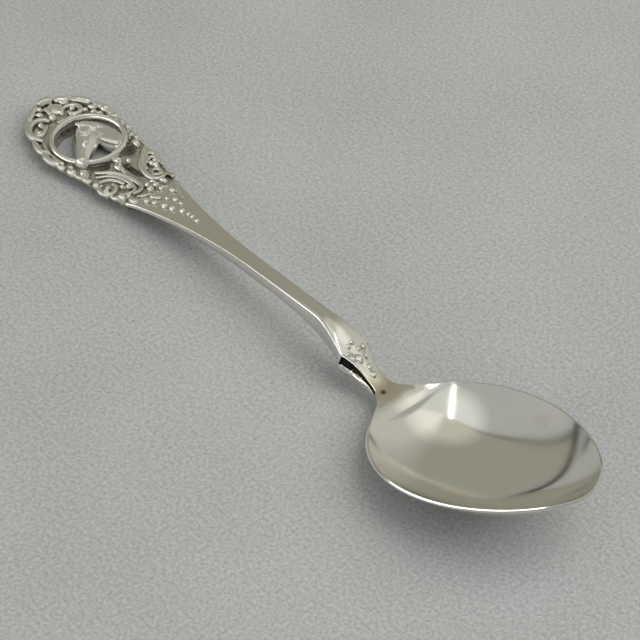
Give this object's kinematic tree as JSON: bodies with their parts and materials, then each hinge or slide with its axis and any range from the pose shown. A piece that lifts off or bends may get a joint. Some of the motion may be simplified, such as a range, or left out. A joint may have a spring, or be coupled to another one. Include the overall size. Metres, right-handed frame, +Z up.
{
  "type": "teaspoon",
  "caption": "Small silver spoon with a deep egg-shaped bowl on an arched slender stem, and an openwork finial of scrolls and beads round a ring that holds a horse's head.",
  "frame": {"origin": "on the table, under the middle of the spoon's bounding box", "axes": "+X from the finial to the tip of the bowl, +Z up from the table with the bowl open upwards"},
  "size_m": [0.1292, 0.027, 0.0149],
  "materials": {
    "polished_silver": "polished silver with fine wear",
    "bright_silver": "polished silver, bright on the high points",
    "worn_silver": "polished silver with tarnish in the recesses",
    "recess_silver": "tarnished silver"
  },
  "bodies": {
    "root": {"bowl": "polished_silver", "stem": "polished_silver", "finial_plate": "recess_silver", "medallion_ring": "bright_silver", "horse_head": "bright_silver", "crest": "worn_silver", "border_left": "worn_silver", "border_right": "worn_silver", "scroll_left": "worn_silver", "scroll_right": "worn_silver", "collar": "bright_silver", "base_scrolls": "worn_silver", "bead_cluster": "bright_silver", "bead_drop": "bright_silver", "shoulder_rosette": "bright_silver"}
  },
  "joints": []
}
